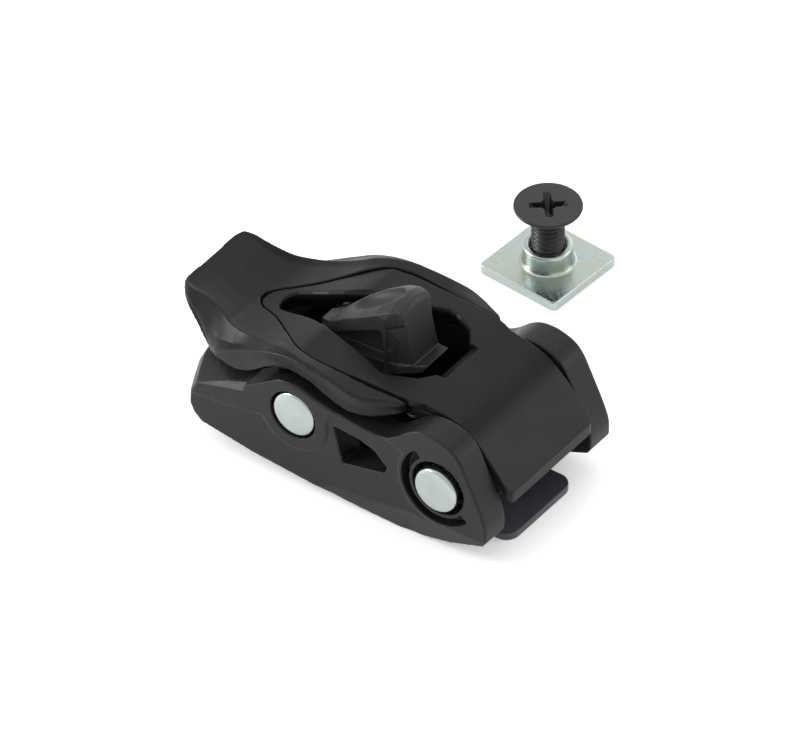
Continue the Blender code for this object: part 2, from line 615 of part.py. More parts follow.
def make_screw(mat):
    """Countersunk screw with a cross recess."""
    foot = SCREW_TOP - SCREW_LENGTH
    profile = [
        (0, foot), (SCREW_R - 0.6, foot), (SCREW_R, foot + 0.6), (SCREW_R, SCREW_TOP - 2.9),
        (SCREW_HEAD_R, SCREW_TOP - 0.35), (SCREW_HEAD_R - 0.1, SCREW_TOP), (0, SCREW_TOP),
    ]
    screw = turned("fixing_screw", profile, (0, 0), "Z", 40)
    for k in range(2):
        wide = 2.75
        deep = SCREW_TOP - 2.1
        blade = [(-1.1, deep), (1.1, deep), (wide, SCREW_TOP + 0.5), (-wide, SCREW_TOP + 0.5)]
        bit = prism("recess_%d" % (k + 1), blade, -0.55, 0.55)
        bit.rotation_euler = (0.0, 0.0, math.pi / 2 * k)
        cut(screw, bit)
    holder = bpy.data.objects.new("screw_place", None)
    bpy.context.scene.collection.objects.link(holder)
    for ob in [screw] + [m.object for m in screw.modifiers]:
        ob.parent = holder
    holder.location = (NUT_AT[0] * MM, NUT_AT[1] * MM, 0.0)
    holder.rotation_euler = (0.0, 0.0, math.radians(40.0))
    screw.data.materials.append(mat)
    return screw


def build():
    """Makes every piece."""
    start_clean()
    body = material("moulded_black", (0.035, 0.035, 0.037), 0.42, 0.0)
    lever_black = material("lever_black", (0.03, 0.03, 0.034), 0.38, 0.0)
    cover_black = material("cover_black", (0.033, 0.032, 0.04), 0.36, 0.0)
    plate_black = material("plate_black", (0.04, 0.04, 0.05), 0.4, 0.6)
    pawl_grey = material("pawl_grey", (0.05, 0.05, 0.052), 0.5, 0.0)
    nickel = material("pin_nickel", (0.72, 0.74, 0.72), 0.28, 1.0)
    steel = material("insert_steel", (0.55, 0.56, 0.58), 0.35, 1.0)
    zinc = material("nut_zinc", (0.66, 0.7, 0.68), 0.36, 1.0)
    oxide = material("screw_oxide", (0.05, 0.05, 0.055), 0.4, 0.8)
    brass = material("bush_bronze", (0.6, 0.42, 0.2), 0.4, 1.0)
    rear = (0.0, REAR_PIN_UP)
    front = (FRONT_PIN[0], FRONT_PIN[1] + REAR_PIN_UP)
    make_base(body)
    make_plate(plate_black)
    make_pin("rear_pin", rear, 15.0, 13.9, nickel)
    make_pin("front_pin", front, 15.9, 13.6, nickel)
    sleeve("pawl_spacer_near", rear, PIN_R + FIT, 3.3, -10.0, -PAWL_HALF - GAP, steel)
    sleeve("pawl_spacer_far", rear, PIN_R + FIT, 3.3, PAWL_HALF + GAP, 10.0, steel)
    cup = turned(
        "floor_screw_cup",
        [(3.9, PLATE_T + GAP), (CUP_R, PLATE_T + GAP), (CUP_R, FLOOR_TOP), (5.1, FLOOR_TOP)],
        (FIX_X, 0.0), "Z", 40,
    )
    cup.data.materials.append(steel)
    make_lever(lever_black)
    make_cover(cover_black)
    make_rivets(steel)
    sleeve("lever_bush_near", front, PIN_R + 0.08, BUSH_R, -9.9, -CAM_HALF - GAP, brass)
    sleeve("lever_bush_far", front, PIN_R + 0.08, BUSH_R, CAM_HALF + GAP, 9.9, brass)
    make_drive_cam(steel)
    coil("lever_spring", front, 4.3, 0.4, SPRING_IN + 0.2, SPRING_OUT - 0.2, 3.0, steel)
    make_pawl(pawl_grey, steel)
    sleeve("pawl_bush", rear, PIN_R + 0.08, BUSH_R, -PAWL_HALF, PAWL_HALF, brass)
    coil("pawl_spring", rear, 4.1, 0.4, 4.8, 9.6, 4.0, steel)
    make_nut(zinc)
    make_screw(oxide)


build()
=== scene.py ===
"""Finished surfaces for the cam-lever strap buckle, its screw and its square nut."""

import math

import bmesh
import bpy
from mathutils import Matrix, Vector


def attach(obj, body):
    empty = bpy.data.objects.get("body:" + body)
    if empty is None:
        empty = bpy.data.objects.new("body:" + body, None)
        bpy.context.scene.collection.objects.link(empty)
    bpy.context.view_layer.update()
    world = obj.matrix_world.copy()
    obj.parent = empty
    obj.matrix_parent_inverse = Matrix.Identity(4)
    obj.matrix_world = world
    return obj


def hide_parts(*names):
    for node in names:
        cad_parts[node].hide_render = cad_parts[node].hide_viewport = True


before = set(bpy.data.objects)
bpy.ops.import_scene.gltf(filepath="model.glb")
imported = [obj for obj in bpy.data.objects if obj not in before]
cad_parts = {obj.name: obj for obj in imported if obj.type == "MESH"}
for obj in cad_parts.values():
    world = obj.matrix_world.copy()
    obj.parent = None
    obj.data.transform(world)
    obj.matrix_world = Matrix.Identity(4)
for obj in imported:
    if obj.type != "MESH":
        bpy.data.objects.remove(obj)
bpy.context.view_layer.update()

MM = 0.001
UP = 12.5                    # rear pin axis above the seat
REAR = (0.0, UP)             # rear pin axis, x and height
FRONT = (25.2, 11.6)         # front pin axis, x and height
NUT_AT = (1.4, 44.6)         # centre of nut and screw on the floor
SENSOR = 36.0                # camera sensor width
COARSE = 1.0
SKY = 40.0                   # higher than anything on the part
OUTER = 15.0                 # outer face of the side walls from the centre plane
SEAT_HOLE_X = 16.6           # fixing hole in floor and plate

# Side outlines are (x, height over the rear pin axis); plan outlines are (x, y)
WALL = [
    (-18.0, -6.6), (-17.9, -4.4), (-16.9, -2.5), (-12.5, -0.5), (-8.5, 1.3), (-4.3, 4.1), (-2.3, 5.3),
    (0.7, 5.5), (4.6, 4.5), (10.0, 3.6), (14.9, 3.4), (17.6, 4.7), (19.8, 6.6),
    (22.1, 7.7), (25.2, 7.7), (28.3, 6.2), (30.6, 2.1), (33.2, -3.8), (33.4, -7.1),
    (32.8, -8.0), (26.5, -10.7), (22.1, -12.0), (17.6, -12.5), (12.0, -12.0), (7.0, -11.5),
    (-1.0, -10.9), (-7.0, -10.5), (-16.0, -9.2), (-17.3, -8.1),
]
WINDOW = [(6.9, 1.3), (11.5, 1.0), (14.0, 0.2), (16.2, -1.8), (15.7, -3.0), (8.5, -4.7)]
ROOF = [
    (-15.7, 4.0), (-9.9, 5.9), (-2.4, 8.6), (0.5, 8.8), (8.0, 8.8), (15.8, 8.7),
    (20.5, 8.3), (24.0, 7.75), (26.5, 6.8), (28.6, 5.2), (31.4, 2.1), (34.1, -1.2), (35.9, -3.4),
]
COVER_HALF = [
    (-15.75, 0.5), (-15.3, 1.4), (-14.2, 2.3), (-12.4, 3.2), (-9.9, 4.7), (-6.0, 7.8), (-2.4, 10.5),
    (0.5, 11.3), (4.0, 11.5), (15.8, 11.0), (19.0, 10.4), (21.0, 10.0), (33.2, 10.0), (34.1, 9.1),
]
OPENING_SIDE = [
    (-12.3, 1.2), (-11.5, 2.0), (-9.4, 2.5), (-6.9, 2.9), (-4.5, 3.5), (-0.8, 4.8), (4.0, 5.9),
    (7.5, 6.9), (10.4, 8.1), (11.8, 7.9), (15.3, 6.2), (16.9, 4.0),
]
OPENING = [(-12.6, 0.0)] + [(x, -y) for x, y in OPENING_SIDE] + OPENING_SIDE[::-1]
# Lever stations: x, top, then (y, height) of edge, crease and skirt, then the underside
LEVER = [
    (-25.2, 6.8, (5.6, 6.9), (5.7, 6.4), (5.6, 5.9), 5.8),
    (-24.7, 6.6, (6.9, 7.0), (7.1, 6.2), (7.1, 5.5), 5.2),
    (-23.4, 6.2, (7.4, 6.9), (8.0, 5.4), (8.2, 4.4), 4.1),
    (-21.0, 5.5, (7.4, 6.7), (8.5, 3.8), (9.0, 2.3), 2.2),
    (-18.7, 4.8, (7.7, 6.2), (9.8, 1.9), (10.2, 1.1), 1.0),
    (-17.0, 4.4, (8.2, 5.7), (11.2, 1.6), (11.4, 1.0), 0.9),
    (-15.7, 4.2, (8.8, 5.4), (12.0, 2.2), (12.2, 1.3), 1.2),
    (-13.5, 4.8, (9.5, 5.5), (12.4, 3.5), (13.0, 1.7), 1.6),
    (-11.4, 5.5, (9.9, 6.0), (12.6, 4.7), (13.6, 2.1), 2.0),
    (-9.0, 6.3, (10.6, 6.7), (12.9, 6.0), (14.0, 3.0), 3.0),
    (-7.0, 7.0, (11.1, 7.5), (13.1, 7.1), (14.2, 4.4), 4.0),
    (-5.0, 7.8, (11.8, 8.3), (13.3, 7.9), (14.3, 5.9), 5.0),
    (-2.4, 8.5, (12.6, 8.9), (13.5, 8.6), (14.2, 7.0), 5.9),
    (0.5, 8.7, (13.3, 9.1), (13.8, 8.8), (14.2, 7.1), 6.0),
    (3.0, 8.7, (13.6, 9.0), (14.0, 8.7), (14.3, 6.7), 6.0),
    (5.0, 8.7, (13.8, 8.9), (14.1, 8.6), (14.4, 5.9), 5.6),
    (8.4, 8.7, (14.1, 8.5), (14.4, 8.1), (14.4, 4.9), 5.4),
    (10.5, 8.7, (14.1, 8.2), (14.3, 7.7), (14.1, 4.8), 5.4),
    (12.5, 8.6, (13.5, 8.2), (13.7, 7.6), (13.5, 4.9), 5.4),
    (14.6, 8.6, (12.6, 8.3), (12.7, 7.7), (12.5, 5.4), 5.6),
    (16.4, 8.5, (11.9, 8.2), (12.0, 7.7), (11.8, 6.2), 5.7),
    (17.0, 8.4, (11.3, 8.0), (11.4, 7.6), (11.3, 6.7), 5.8),
]
BLOCK = [
    (13.0, 7.2), (15.8, 7.2), (20.3, 6.8), (25.2, 5.9), (28.0, 3.8), (32.7, -1.2),
    (31.6, -2.6), (30.3, -4.3), (28.2, -6.0), (22.2, -5.6), (19.7, -1.0), (18.4, 3.0), (17.0, 5.4),
    (13.0, 5.4),
]
HUB_ARM = [
    (14.4, 7.6), (13.6, 6.2), (9.0, 4.4), (5.4, 1.2), (4.6, -1.8), (2.6, -4.5), (0.0, -5.2),
    (-3.4, -5.6), (-4.6, -6.9), (-8.9, -6.6), (-9.0, -2.6), (-6.0, 0.4), (-4.9, 3.0), (-4.9, 5.2),
    (-3.0, 5.6), (10.0, 6.4),
]
THUMB = [
    (-4.9, 4.9), (-4.9, 6.3), (-3.0, 7.3), (0.5, 10.8), (3.4, 13.2), (6.4, 15.2), (8.5, 16.1),
    (10.1, 16.2), (10.7, 15.6), (14.5, 7.6), (14.0, 6.0), (9.0, 4.4), (5.4, 4.0), (0.0, 4.0),
]
THUMB_PLAN = [
    (-5.2, -1.1), (-1.5, -2.7), (2.8, -4.0), (5.2, -4.15), (8.0, -4.1), (9.8, -3.3), (15.0, -2.8),
    (15.0, 2.8), (9.8, 3.3), (8.0, 4.1), (5.2, 4.15), (2.8, 4.0), (-1.5, 2.7), (-5.2, 1.1),
]
THUMB_DRAFT = [
    (-4.18, 3.0), (4.18, 3.0), (4.18, 14.0), (3.6, 15.4), (2.8, 17.0),
    (-2.8, 17.0), (-3.6, 15.4), (-4.18, 14.0),
]
WAIST = [
    (-3.0, 4.9), (-0.6, 6.9), (2.6, 9.3), (6.9, 11.6), (7.6, 11.3), (8.0, 8.6), (7.8, 4.0), (5.4, 1.6),
    (2.0, 3.0),
]
TOOTH = [(-7.9, -3.6), (-5.9, -3.2), (-5.4, -6.3), (-6.5, -9.2), (-7.4, -9.2), (-8.1, -6.2)]


# Mesh building, in millimetres


def to_object(name, bm):
    """A bmesh in millimetres becomes an object in metres at the frame's origin."""
    bmesh.ops.recalc_face_normals(bm, faces=bm.faces)
    for v in bm.verts:
        v.co *= MM
    mesh = bpy.data.meshes.new(name)
    bm.to_mesh(mesh)
    bm.free()
    ob = bpy.data.objects.new(name, mesh)
    bpy.context.scene.collection.objects.link(ob)
    return ob


def lift(points):
    """Side profile points to heights above the seat."""
    return [(x, z + UP) for x, z in points]


def prism(name, points, low, high, across="Y"):
    """Extrudes an outline across Y, Z or X."""
    place = {
        "Y": lambda a, b, t: (a, t, b),
        "Z": lambda a, b, t: (a, b, t),
        "X": lambda a, b, t: (t, a, b),
    }[across]
    return skin(name, [[place(a, b, t) for a, b in points] for t in (low, high)])


def skin(name, rings):
    """Joins rings of points and caps both ends."""
    bm = bmesh.new()
    rows = [[bm.verts.new(p) for p in ring] for ring in rings]
    n = len(rows[0])
    for a, b in zip(rows, rows[1:]):
        for i in range(n):
            j = (i + 1) % n
            bm.faces.new((a[i], a[j], b[j], b[i]))
    bm.faces.new(rows[0])
    bm.faces.new(rows[-1])
    return to_object(name, bm)


def turned(name, profile, at, axis="Y", steps=64):
    """Turns a (radius, distance) profile round an axis."""
    rings = []
    for k in range(steps):
        a = 2 * math.pi * k / steps
        c, s = math.cos(a), math.sin(a)
        if axis == "Y":
            rings.append([(at[0] + r * c, t, at[1] + r * s) for r, t in profile])
        else:
            rings.append([(at[0] + r * c, at[1] + r * s, t) for r, t in profile])
    bm = bmesh.new()
    rows = [[bm.verts.new(p) for p in ring] for ring in rings]
    closed = profile[0][0] > 0.0
    for k in range(steps):
        a, b = rows[k], rows[(k + 1) % steps]
        for i in range(len(profile) if closed else len(profile) - 1):
            j = (i + 1) % len(profile)
            bm.faces.new((a[i], a[j], b[j], b[i]))
    bmesh.ops.remove_doubles(bm, verts=bm.verts, dist=0.0004)
    bmesh.ops.dissolve_degenerate(bm, edges=bm.edges, dist=0.0003)
    return to_object(name, bm)


def rod(at, r, low, high, axis="Y", steps=48):
    """A cylinder used to cut or join."""
    return turned("rod", [(0, low), (r, low), (r, high), (0, high)], at, axis, steps)


def bake_modifiers(ob):
    """Replaces the mesh with what its modifiers make."""
    bpy.context.view_layer.update()
    shape = ob.evaluated_get(bpy.context.evaluated_depsgraph_get())
    mesh = bpy.data.meshes.new_from_object(shape)
    ob.modifiers.clear()
    old = ob.data
    ob.data = mesh
    bpy.data.meshes.remove(old)
    return ob


def cut(ob, tool, operation="DIFFERENCE"):
    """One exact Boolean, applied, and its operand removed."""
    mod = ob.modifiers.new("cut", "BOOLEAN")
    mod.operation = operation
    mod.solver = "EXACT"
    mod.object = tool
    bake_modifiers(ob)
    bpy.data.objects.remove(tool, do_unlink=True)
    return ob


def mould(ob, voxel, rounds, keep):
    """Fine even mesh with softly rounded edges, as from a mould, then thinned."""
    mod = ob.modifiers.new("even", "REMESH")
    mod.mode = "VOXEL"
    mod.voxel_size = voxel * MM * COARSE
    mod = ob.modifiers.new("soft", "SMOOTH")
    mod.factor = 0.5
    mod.iterations = rounds
    mod = ob.modifiers.new("thin", "DECIMATE")
    mod.ratio = keep
    bake_modifiers(ob)
    ob.data.shade_smooth()
    return ob


def crisp(ob, width, segments=3, angle=35.0):
    """Small round bevels on the sharp edges with clean shading."""
    mod = ob.modifiers.new("edge", "BEVEL")
    mod.width = width * MM
    mod.segments = segments
    mod.limit_method = "ANGLE"
    mod.angle_limit = math.radians(angle)
    mod.harden_normals = True
    ob.data.shade_smooth()
    return bake_modifiers(ob)


def inset(points, amount):
    """Moves an outline's corners inwards."""
    area = sum(a[0] * b[1] - b[0] * a[1] for a, b in zip(points, points[1:] + points[:1]))
    turn = 1.0 if area > 0 else -1.0
    out = []
    for i, p in enumerate(points):
        here = Vector(p)
        d1 = (here - Vector(points[i - 1])).normalized()
        d2 = (Vector(points[(i + 1) % len(points)]) - here).normalized()
        n1 = Vector((-d1.y, d1.x)) * turn
        n2 = Vector((-d2.y, d2.x)) * turn
        mean = (n1 + n2).normalized()
        out.append(tuple(here + mean * (amount / max(0.5, mean.dot(n1)))))
    return out


def below(line, depth):
    """An open line moved down square to itself."""
    out = []
    for i, p in enumerate(line):
        before = Vector(line[max(0, i - 1)])
        after = Vector(line[min(len(line) - 1, i + 1)])
        run = (after - before).normalized()
        out.append((p[0] + run.y * depth, p[1] - run.x * depth))
    return out


def spline(values, t):
    """Catmull-Rom reading of a list of numbers at a fractional index."""
    i = max(0, min(len(values) - 2, int(t)))
    f = t - i
    p0 = values[max(0, i - 1)]
    p1 = values[i]
    p2 = values[i + 1]
    p3 = values[min(len(values) - 1, i + 2)]
    return p1 + 0.5 * f * (p2 - p0 + f * (2 * p0 - 5 * p1 + 4 * p2 - p3 + f * (3 * (p1 - p2) + p3 - p0)))


def smooth_line(points, parts):
    """A smooth line through points, with parts pieces to each gap."""
    xs = [p[0] for p in points]
    ys = [p[1] for p in points]
    count = (len(points) - 1) * parts
    return [(spline(xs, i / parts), spline(ys, i / parts)) for i in range(count + 1)]


def arc(at, r, a0, a1, n):
    """Points on an arc, in degrees."""
    out = []
    for i in range(n + 1):
        a = math.radians(a0 + (a1 - a0) * i / n)
        out.append((at[0] + r * math.cos(a), at[1] + r * math.sin(a)))
    return out


def along(table, x):
    """Straight-line reading of a two-column table."""
    if x <= table[0][0]:
        return table[0][1]
    for (x0, y0), (x1, y1) in zip(table, table[1:]):
        if x <= x1:
            return y0 + (y1 - y0) * (x - x0) / (x1 - x0)
    return table[-1][1]


# Procedural materials


class Mat:
    """A Principled material with helpers for its nodes."""

    def __init__(self, name):
        self.mat = bpy.data.materials.new(name)
        self.mat.use_nodes = True
        self.tree = self.mat.node_tree
        self.shader = self.tree.nodes["Principled BSDF"]
        self.coord = self.tree.nodes.new("ShaderNodeTexCoord").outputs["Object"]

    def node(self, kind, **values):
        made = self.tree.nodes.new(kind)
        for key, value in values.items():
            if key in made.inputs:
                made.inputs[key].default_value = value
            else:
                setattr(made, key, value)
        return made

    def link(self, a, b):
        self.tree.links.new(a, b)

    def noise(self, scale, detail=3.0, rough=0.55, stretch=None):
        made = self.node("ShaderNodeTexNoise", Scale=scale, Detail=detail, Roughness=rough)
        source = self.coord
        if stretch:
            turn = self.node("ShaderNodeMapping")
            turn.inputs["Scale"].default_value = stretch
            self.link(source, turn.inputs["Vector"])
            source = turn.outputs["Vector"]
        self.link(source, made.inputs["Vector"])
        return made.outputs["Fac"]

    def ramp(self, source, stops):
        made = self.node("ShaderNodeValToRGB")
        line = made.color_ramp
        line.elements[0].position, line.elements[0].color = stops[0][0], stops[0][1]
        line.elements[1].position, line.elements[1].color = stops[-1][0], stops[-1][1]
        for place, colour in stops[1:-1]:
            line.elements.new(place).color = colour
        self.link(source, made.inputs["Fac"])
        return made.outputs["Color"]

    def spread(self, source, low, high, to_low, to_high):
        made = self.node("ShaderNodeMapRange")
        for key, value in zip(("From Min", "From Max", "To Min", "To Max"), (low, high, to_low, to_high)):
            made.inputs[key].default_value = value
        self.link(source, made.inputs["Value"])
        return made.outputs["Result"]

    def mix(self, amount, a, b):
        made = self.tree.nodes.new("ShaderNodeMix")
        made.data_type = "RGBA"
        for key, value in ((0, amount), (6, a), (7, b)):
            if hasattr(value, "links"):
                self.link(value, made.inputs[key])
            else:
                made.inputs[key].default_value = value
        return made.outputs[2]

    def bump(self, *layers):
        last = None
        for source, strength, distance in layers:
            made = self.node("ShaderNodeBump", Strength=strength, Distance=distance)
            self.link(source, made.inputs["Height"])
            if last:
                self.link(last, made.inputs["Normal"])
            last = made.outputs["Normal"]
        self.link(last, self.shader.inputs["Normal"])


def grey(v, tint=(1.0, 1.0, 1.0)):
    """A colour from a brightness and a tint."""
    return (v * tint[0], v * tint[1], v * tint[2], 1.0)


def plastic(name, value, tint, rough, grain=0.05, shine=0.3):
    """Moulded plastic: fine grain, cloudy gloss, painted highlights on the sharp edges and a little dust."""
    m = Mat(name)
    cloud = m.noise(140.0, 4.0)
    fine = m.noise(5200.0, 2.0)
    specks = m.noise(2300.0, 1.0, 0.4)
    base = m.ramp(cloud, [(0.3, grey(value * 0.86, tint)), (0.7, grey(value * 1.16, tint))])
    dust = m.spread(specks, 0.70, 0.76, 0.0, 0.35)
    base = m.mix(dust, base, grey(value * 4.5))
    # Painted highlight: sharp edges, found by pointiness, are lightened in the base colour to stand in for bright
    # edge lines.
    edge = m.node("ShaderNodeNewGeometry").outputs["Pointiness"]
    edge_highlight = m.spread(edge, 0.52, 0.60, 0.0, 0.5)
    base = m.mix(edge_highlight, base, grey(value * 2.2, tint))
    m.link(base, m.shader.inputs["Base Color"])
    scuff = m.noise(900.0, 5.0, 0.65, (1.0, 6.0, 1.0))
    gloss = m.spread(cloud, 0.25, 0.75, rough - 0.05, rough + 0.06)
    hatch = m.spread(scuff, 0.55, 0.8, 0.0, 0.10)
    total = m.node("ShaderNodeMath", operation="ADD")
    m.link(gloss, total.inputs[0])
    m.link(hatch, total.inputs[1])
    m.link(total.outputs[0], m.shader.inputs["Roughness"])
    m.shader.inputs["IOR"].default_value = 1.49
    m.shader.inputs["Specular IOR Level"].default_value = shine
    m.bump((fine, grain, 0.00004), (m.noise(700.0, 2.0), 0.04, 0.0001))
    return m.mat


def metal(name, colour, rough, scratch=0.08, tints=None, metallic=1.0):
    """Plated metal: cloudy tint, fine scratches and uneven gloss."""
    m = Mat(name)
    cloud = m.noise(260.0, 4.0)
    dull = [c * 0.9 for c in colour] + [1.0]
    bright = [min(1.0, c * 1.06) for c in colour] + [1.0]
    base = m.ramp(cloud, tints or [(0.3, dull), (0.7, bright)])
    marks = m.noise(1500.0, 4.0, 0.6, (1.0, 1.0, 9.0))
    base = m.mix(m.spread(marks, 0.62, 0.78, 0.0, 0.35), base, [c * 0.55 for c in colour] + [1.0])
    m.link(base, m.shader.inputs["Base Color"])
    m.link(m.spread(marks, 0.3, 0.8, rough - 0.05, rough + scratch + 0.05), m.shader.inputs["Roughness"])
    m.shader.inputs["Metallic"].default_value = metallic
    m.bump((m.noise(3600.0, 2.0), 0.04, 0.00003), (marks, scratch, 0.00002))
    return m.mat


BODY = plastic("body_black", 0.009, (1.0, 1.0, 1.0), 0.40, 0.10, shine=0.24)
LEVER_MAT = plastic("lever_black_fine", 0.007, (0.96, 0.98, 1.08), 0.34, 0.06, shine=0.20)
COVER_MAT = plastic("cover_black_fine", 0.007, (0.98, 0.96, 1.14), 0.33, 0.04, shine=0.17)
PLATE_MAT = plastic("plate_black_fine", 0.05, (0.92, 0.97, 1.12), 0.36, 0.05)
PAWL_MAT = plastic("pawl_grey_fine", 0.016, (1.0, 1.0, 1.0), 0.46, 0.16)
NICKEL = metal("pin_nickel_fine", (0.39, 0.43, 0.415), 0.24)
STEEL = metal("insert_steel_fine", (0.52, 0.53, 0.55), 0.34)
BRONZE = metal("bush_bronze_fine", (0.55, 0.38, 0.18), 0.4)
OXIDE = metal("screw_oxide_fine", (0.012, 0.012, 0.014), 0.34, metallic=0.2)
ZINC = metal(
    "nut_zinc_fine", (0.70, 0.75, 0.72), 0.26, 0.1,
    [(0.25, (0.36, 0.43, 0.42, 1.0)), (0.45, (0.41, 0.48, 0.47, 1.0)), (0.58, (0.43, 0.46, 0.40, 1.0)),
     (0.75, (0.37, 0.44, 0.47, 1.0))],
)


def place(ob, mat, body, slot, *nodes):
    """Gives a piece its material, its body and the CAD nodes it stands for."""
    ob.data.materials.clear()
    ob.data.materials.append(mat)
    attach(ob, body)
    if nodes:
        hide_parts(*nodes)
    return ob


# Base


def base_ring(y, shrink):
    """Side outline of the base at one place across its width, its nose bowed in plan."""
    bow = (OUTER ** 2 - y * y) * 0.0151
    rise = max(0.0, min(1.0, (OUTER - abs(y)) / 4.7)) * 1.85
    ring = []
    for x, z in lift(inset(smooth_top(), shrink)):
        nose = max(0.0, min(1.0, (-8.5 - x) / 8.0))
        ring.append((x - bow * nose, y, z + (rise * nose if z > 8.0 else 0.0)))
    return ring


def smooth_top():
    """Wall outline with its top from the nose to the ear drawn as a smooth line."""
    return smooth_line(WALL[2:19], 4) + WALL[19:] + WALL[:2]


def make_base():
    """Side walls, floor, rear bridge and their holes and reliefs."""
    rows = [(15.0, 0.22), (14.9, 0.05), (14.75, 0.0), (12.5, 0.0), (10.3, 0.0), (5.0, 0.0)]
    full = rows + [(-y, s) for y, s in reversed(rows)]
    base = skin("base_frame_fine", [base_ring(y, s) for y, s in full])
    floor = [(-14.0, 0.0), (22.0, 0.0), (22.0, 6.0), (-15.5, 6.0), (-15.5, 1.5)]
    cut(base, prism("floor", floor, -9.8, 9.8), "UNION")
    channel = [(-11.5, 2.8), (21.5, 2.8), (21.5, -2.0), (40.0, -2.0), (40.0, 30.0), (-11.5, 30.0)]
    cut(base, prism("channel", channel, -10.3, 10.3))
    cut(base, prism("exit", [(-30.0, 3.1), (-10.5, 3.1), (-10.5, 7.4), (-30.0, 7.4)], -8.4, 8.4))
    cut(base, prism("seat", [(-12.3, -1.0), (40.0, -1.0), (40.0, 1.5), (-12.3, 1.5)], -8.1, 8.1))
    cut(base, rod((SEAT_HOLE_X, 0.0), 6.2, 0.5, 4.0, "Z"))
    cut(base, prism("window", lift(WINDOW), -20.0, -5.0))
    for at, r, deep in ((REAR, 3.9, 1.3), (FRONT, 4.4, 1.6)):
        s = OUTER - deep - 1.3
        profile = [(0, -20), (r, -20), (r, -s), (2.15, -s), (2.15, s), (r, s), (r, 20), (0, 20)]
        cut(base, turned("bore", profile, at))
    groove = arc(FRONT, 6.35, 128, 322, 28) + arc(FRONT, 5.0, 322, 128, 28)
    relief = lift([(-20.0, -4.7), (-12.9, -3.9), (-7.4, -2.9)]) + arc(REAR, 5.8, 205, 372, 26)
    relief += lift([(6.6, 3.2), (8.6, 5.0), (17.0, 3.4)]) + arc(FRONT, 6.9, 150, 262, 14)
    relief += lift([(26.5, -14.0), (-20.0, -14.0)])
    chine = ((-3.0, -10.7, 0.05), (6.5, -8.4, 0.9), (20.0, -6.8, 1.7), (27.0, -7.2, 1.5), (35.0, -7.0, 0.9))
    outline = smooth_top()[:66]
    for side in (-1, 1):
        lo, hi = sorted((side * 13.0, side * 17.0))
        cut(base, prism("groove", groove, lo, hi))
        lo, hi = sorted((side * 14.78, side * 17.0))
        cut(base, prism("relief", relief, lo, hi))
        rings = []
        for x, top, deep in chine:
            rings.append([
                (x, side * 15.6, top + UP + 0.6), (x, side * 15.6, -1.5), (x, side * (OUTER - deep), -1.5),
                (x, side * (OUTER - deep * 0.85), -0.5), (x, side * 15.02, top + UP),
            ])
        cut(base, skin("chine", rings))
        rings = []
        for i in range(9):
            x = -16.6 + i
            c = 0.02 + 0.135 * i
            z = along(outline, x) + UP
            rings.append([
                (x, side * 15.3, z - c - 0.3), (x, side * (14.0 - c), z + 1.0), (x, side * 15.3, z + 1.0),
            ])
        cut(base, skin("nose_edge", rings))
    mould(base, 0.15, 3, 0.35)
    return place(base, BODY, "base", "moulded_black", "base_frame")


def make_plate():
    """Guide plate and tongue with rounded corners."""
    r = 2.2
    outline = [(-12.0, -7.8)]
    for cy, a0 in ((-7.8 + r, -90.0), (7.8 - r, 0.0)):
        outline += arc((32.5 - r, cy), r, a0, a0 + 90.0, 12)
    outline.append((-12.0, 7.8))
    plate = prism("strap_guide_plate_fine", outline, 0.0, 1.2, "Z")
    hole = [(0, -1.0), (2.75, -1.0), (2.75, 0.5), (4.0, 1.75), (0, 1.75)]
    cut(plate, turned("hole", hole, (SEAT_HOLE_X, 0.0), "Z"))
    crisp(plate, 0.22)
    return place(plate, PLATE_MAT, "base", "plate_black", "strap_guide_plate")


def pin_head(side, out, inner):
    """Profile of a flat rivet head with a rolled rim."""
    rim = ((0, 0.0), (2.75, 0.0), (3.05, 0.03), (3.3, 0.1), (3.48, 0.24), (3.57, 0.42), (3.6, 0.6))
    return [(r, side * (out - drop)) for r, drop in rim] + [(3.6, side * inner), (3.5, side * (inner - 0.05))]


def make_pins():
    """Rivet pins and their far caps."""
    for name, at, out, inner in (("rear_pin", REAR, 15.0, 13.9), ("front_pin", FRONT, 15.9, 13.6)):
        shank = [(2.0, -inner), (2.0, 10.8), (1.9, 10.9), (1.15, 10.9), (1.15, out - 1.0), (0, out - 1.0)]
        pin = turned(name + "_fine", pin_head(-1, out, inner) + shank, at, steps=96)
        sleeve = [(2.0, inner), (2.0, 11.2), (1.3, 11.2), (1.3, out - 0.7), (0, out - 0.7)]
        cap = turned(name + "_cap_fine", pin_head(1, out, inner) + sleeve, at, steps=96)
        for ob, node in ((pin, name), (cap, name + "_cap")):
            ob.data.shade_smooth()
            ob.data.set_sharp_from_angle(angle=math.radians(50.0))
            place(ob, NICKEL, "base", "pin_nickel", node)


# Lever


def lever_section(t):
    """Cross-section of the lever at a fractional station."""
    x, top, under = (spline([s[k] for s in LEVER], t) for k in (0, 1, 5))
    edge, crease, skirt = (tuple(spline([s[k][n] for s in LEVER], t) for n in (0, 1)) for k in (2, 3, 4))
    dip = max(0.0, 1.0 - abs(x + 13.5) / 7.5)
    half = [
        (edge[0] * 0.30, top + (edge[1] - top) * 0.06), (edge[0] * 0.60, top + (edge[1] - top) * 0.25),
        (edge[0] * 0.88, top + (edge[1] - top) * 0.5), edge,
        ((edge[0] + crease[0]) / 2, (edge[1] + crease[1]) / 2 - 0.7 * dip), crease,
        ((crease[0] + skirt[0]) / 2 - 0.12, (crease[1] + skirt[1]) / 2 - 0.05), skirt,
        (skirt[0] - 0.9, skirt[1] + 0.05), (min(9.6, skirt[0] - 1.6), under),
    ]
    near = [(x, -y, z + UP) for y, z in half]
    far = [(x, y, z + UP) for y, z in reversed(half)]
    return near + far


